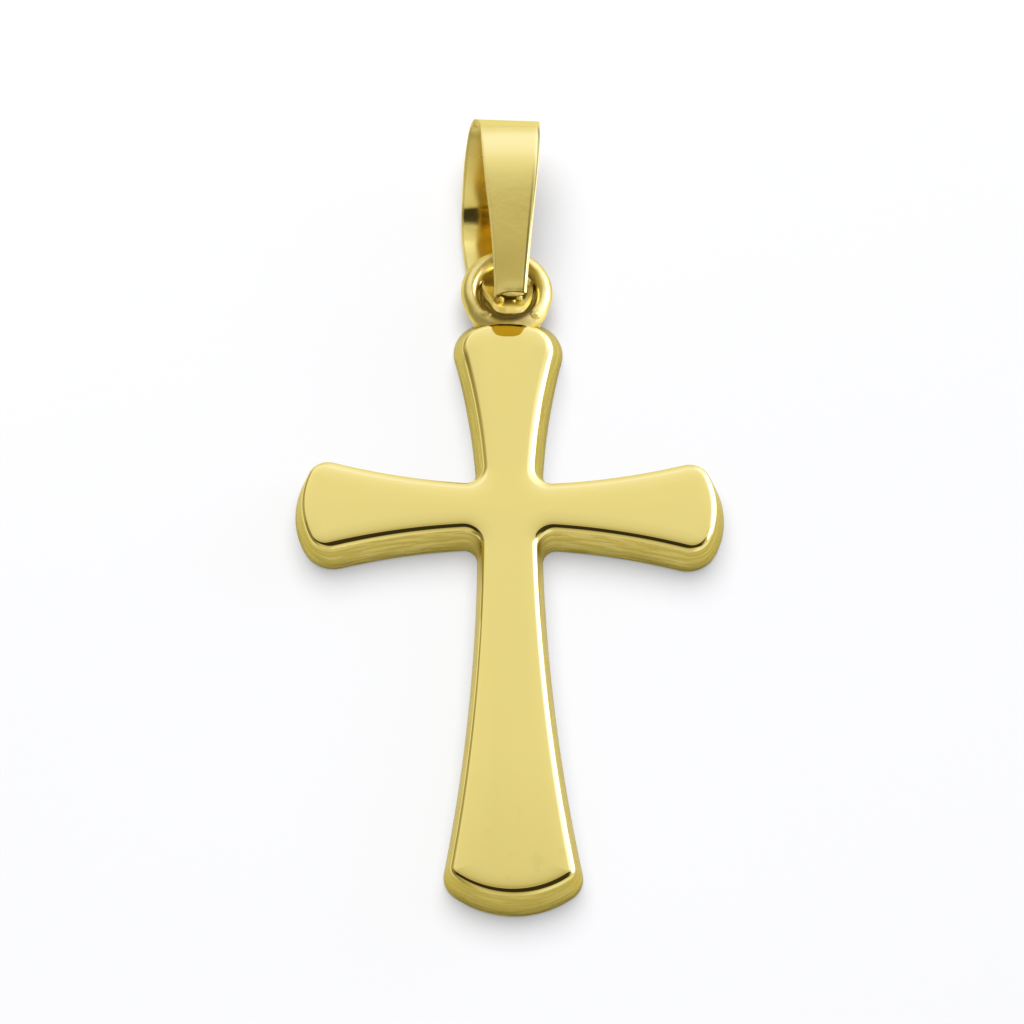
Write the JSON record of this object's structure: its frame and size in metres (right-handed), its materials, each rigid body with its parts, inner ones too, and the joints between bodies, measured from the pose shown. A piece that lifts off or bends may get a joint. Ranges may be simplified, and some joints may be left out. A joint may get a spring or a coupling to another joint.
{
  "type": "cross pendant",
  "caption": "Plain cross with flared arms and bowed ends, a ring soldered to its upper arm and a folded tapered bail that hangs in the ring.",
  "frame": {"origin": "on the flat back, where the middle lines of the two bars cross", "axes": "+X towards the side arm on the right as the face is seen, +Y along the upper arm towards the bail, +Z out of the polished face"},
  "size_m": [0.016, 0.0312, 0.0029],
  "materials": {
    "polished_gold": "yellow gold, mirror-polished face with satin side walls",
    "bail_gold": "polished yellow gold strip, solder at its tip"
  },
  "bodies": {
    "root": {"cross": "polished_gold", "bail": "bail_gold"}
  },
  "joints": []
}
